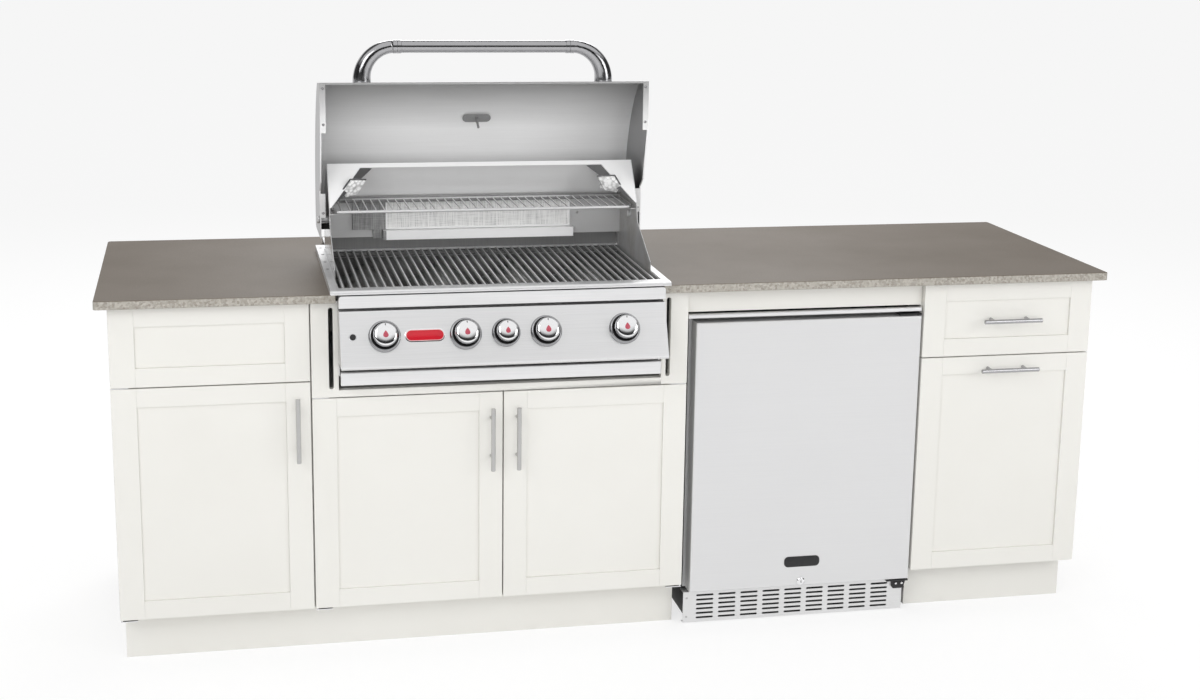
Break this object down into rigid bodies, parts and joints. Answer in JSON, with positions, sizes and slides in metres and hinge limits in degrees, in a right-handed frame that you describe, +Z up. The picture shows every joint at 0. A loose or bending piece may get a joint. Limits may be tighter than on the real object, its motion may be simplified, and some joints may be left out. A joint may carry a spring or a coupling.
{
  "type": "outdoor kitchen island",
  "caption": "Straight outdoor kitchen island with painted shaker cabinets, a built-in gas grill with raised hood, an undercounter fridge, a drawer and a waste pull-out",
  "frame": {"origin": "Centre of the footprint on the floor.", "axes": "+X along the island from the left cabinet to the right cabinet as the user faces it, +Y away from the user, +Z up."},
  "size_m": [2.4944, 0.8612, 1.4611],
  "materials": {
    "cabinet": "smooth cream-white painted board",
    "liner": "matte grey liner",
    "slab": "honed brown-grey stone",
    "steel": "brushed stainless steel",
    "bright": "polished stainless steel",
    "brass": "cast brass and pipe",
    "black": "black plastic"
  },
  "bodies": {
    "island": {"control_panel": "steel", "cooking_grates": "steel", "counter_slab": "slab", "drawer_slides": "steel", "drip_tray_rails": "steel", "face_frame": "cabinet", "firebox": "steel", "fridge_bay": "cabinet", "fridge_cabinet": "liner", "fridge_compressor": "black", "fridge_grille": "steel", "fridge_hinges": "steel", "fridge_shelves": "steel", "fridge_trim": "steel", "gas_manifold": "brass", "grill_apron": "steel", "grill_carcass": "cabinet", "grill_door_pivots": "steel", "grill_flange": "steel", "heat_shields": "steel", "hood_pivots": "steel", "interior_lamps": "steel", "knob_bezels": "bright", "left_carcass": "cabinet", "left_door_pivots": "steel", "left_false_front": "cabinet", "leveling_legs": "black", "main_burners": "steel", "plinths": "cabinet", "pullout_slides": "steel", "rear_burner": "steel", "rear_panel": "steel", "right_carcass": "cabinet", "warming_rack": "steel"},
    "left_door": {"left_door": "cabinet", "left_door_handle": "bright"},
    "grill_door_left": {"grill_door_left": "cabinet", "grill_door_left_handle": "bright"},
    "grill_door_right": {"grill_door_right": "cabinet", "grill_door_right_handle": "bright"},
    "fridge_door": {"fridge_door": "steel", "fridge_gasket": "liner"},
    "fridge_lock": {"fridge_lock": "bright"},
    "drawer": {"drawer_front": "cabinet", "drawer_handle": "bright", "drawer_box": "liner"},
    "pullout": {"pullout_front": "cabinet", "pullout_handle": "bright", "pullout_frame": "liner", "waste_bins": "liner"},
    "drip_tray": {"drip_tray": "steel"},
    "hood": {"hood_shell": "steel", "hood_handle": "bright", "thermometer": "steel"},
    "knob_1": {"knob_1": "bright"},
    "knob_2": {"knob_2": "bright"},
    "knob_3": {"knob_3": "bright"},
    "knob_4": {"knob_4": "bright"},
    "knob_5": {"knob_5": "bright"},
    "light_button": {"light_button": "black"}
  },
  "joints": [
    {"name": "left_door_hinge", "type": "hinge", "parent": "island", "child": "left_door", "pos_m": [-1.2137, -0.3004, 0.4], "axis": [0, 0, -1], "range_deg": [0, 110]},
    {"name": "grill_door_left_hinge", "type": "hinge", "parent": "island", "child": "grill_door_left", "pos_m": [-0.7562, -0.3004, 0.38], "axis": [0, 0, -1], "range_deg": [0, 110]},
    {"name": "grill_door_right_hinge", "type": "hinge", "parent": "island", "child": "grill_door_right", "pos_m": [0.1466, -0.3004, 0.38], "axis": [0, 0, 1], "range_deg": [0, 110]},
    {"name": "fridge_door_hinge", "type": "hinge", "parent": "island", "child": "fridge_door", "pos_m": [0.7508, -0.2964, 0.44], "axis": [0, 0, 1], "range_deg": [0, 90]},
    {"name": "fridge_lock_turn", "type": "hinge", "parent": "fridge_door", "child": "fridge_lock", "pos_m": [0.4658, -0.3044, 0.107], "axis": [0, -1, 0], "range_deg": [0, 90]},
    {"name": "drawer_slide", "type": "slide", "parent": "island", "child": "drawer", "axis": [0, -1, 0], "range_m": [0, 0.4]},
    {"name": "pullout_slide", "type": "slide", "parent": "island", "child": "pullout", "axis": [0, -1, 0], "range_m": [0, 0.45]},
    {"name": "drip_tray_slide", "type": "slide", "parent": "island", "child": "drip_tray", "axis": [0, -1, 0], "range_m": [0, 0.38]},
    {"name": "hood_hinge", "type": "hinge", "parent": "island", "child": "hood", "pos_m": [-0.3122, 0.0106, 1.015], "axis": [1, 0, 0], "range_deg": [0, 90]},
    {"name": "knob_1_turn", "type": "hinge", "parent": "island", "child": "knob_1", "pos_m": [-0.5963, -0.38848, 0.80695], "axis": [0, -0.9188, 0.3948], "range_deg": [0, 220]},
    {"name": "knob_2_turn", "type": "hinge", "parent": "island", "child": "knob_2", "pos_m": [-0.4074, -0.38848, 0.80695], "axis": [0, -0.9188, 0.3948], "range_deg": [0, 220]},
    {"name": "knob_3_turn", "type": "hinge", "parent": "island", "child": "knob_3", "pos_m": [-0.3122, -0.38848, 0.80695], "axis": [0, -0.9188, 0.3948], "range_deg": [0, 220]},
    {"name": "knob_4_turn", "type": "hinge", "parent": "island", "child": "knob_4", "pos_m": [-0.2167, -0.38848, 0.80695], "axis": [0, -0.9188, 0.3948], "range_deg": [0, 220]},
    {"name": "knob_5_turn", "type": "hinge", "parent": "island", "child": "knob_5", "pos_m": [-0.0276, -0.38848, 0.80695], "axis": [0, -0.9188, 0.3948], "range_deg": [0, 220]},
    {"name": "light_button_push", "type": "slide", "parent": "island", "child": "light_button", "axis": [0, 0.9188, -0.3948], "range_m": [0, 0.003], "stiffness_N_per_m": 300}
  ]
}
